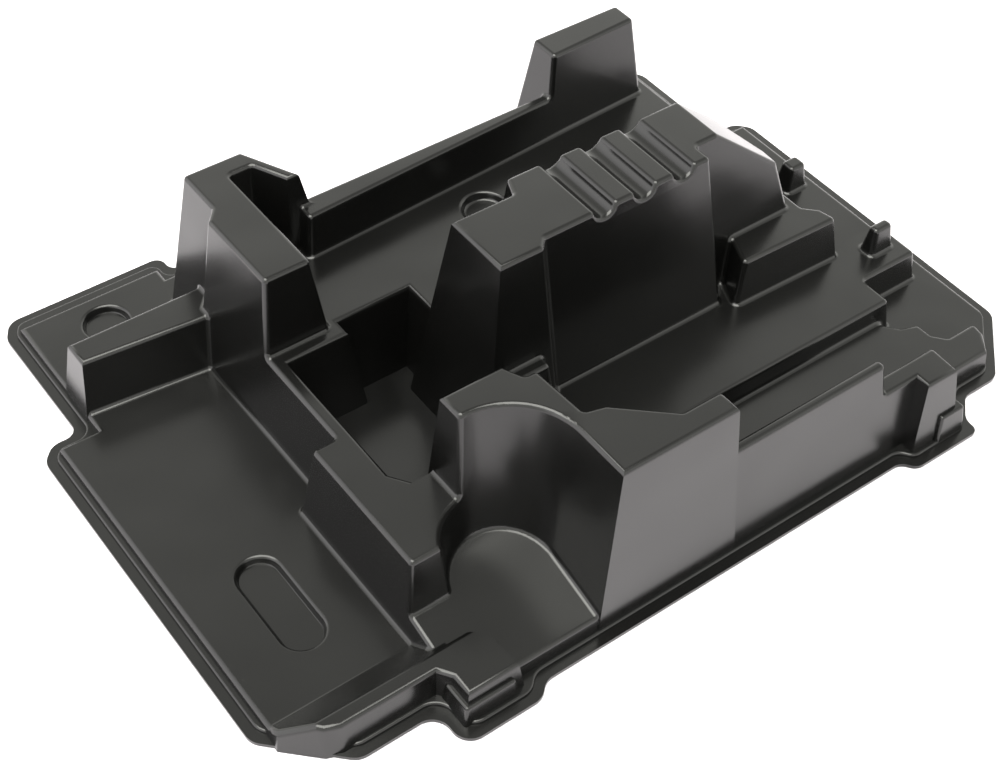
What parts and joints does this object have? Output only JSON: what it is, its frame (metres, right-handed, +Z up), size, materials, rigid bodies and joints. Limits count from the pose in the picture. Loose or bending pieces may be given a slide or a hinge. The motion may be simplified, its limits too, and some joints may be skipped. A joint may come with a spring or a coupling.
{
  "type": "thermoformed equipment tray",
  "caption": "Thin thermoformed plastic insert tray with a flat flange, stepped platforms, upright towers, a round bay and a deep well.",
  "frame": {"origin": "centre of the bounding box, at the underside of the flange", "axes": "+X along the long side, +Y from the front edge to the rear edge, +Z up from the flange to the tower tops"},
  "size_m": [0.37, 0.2771, 0.096],
  "materials": {
    "tray": "satin black, vacuum formed sheet"
  },
  "bodies": {
    "root": {"tray": "tray"}
  },
  "joints": []
}
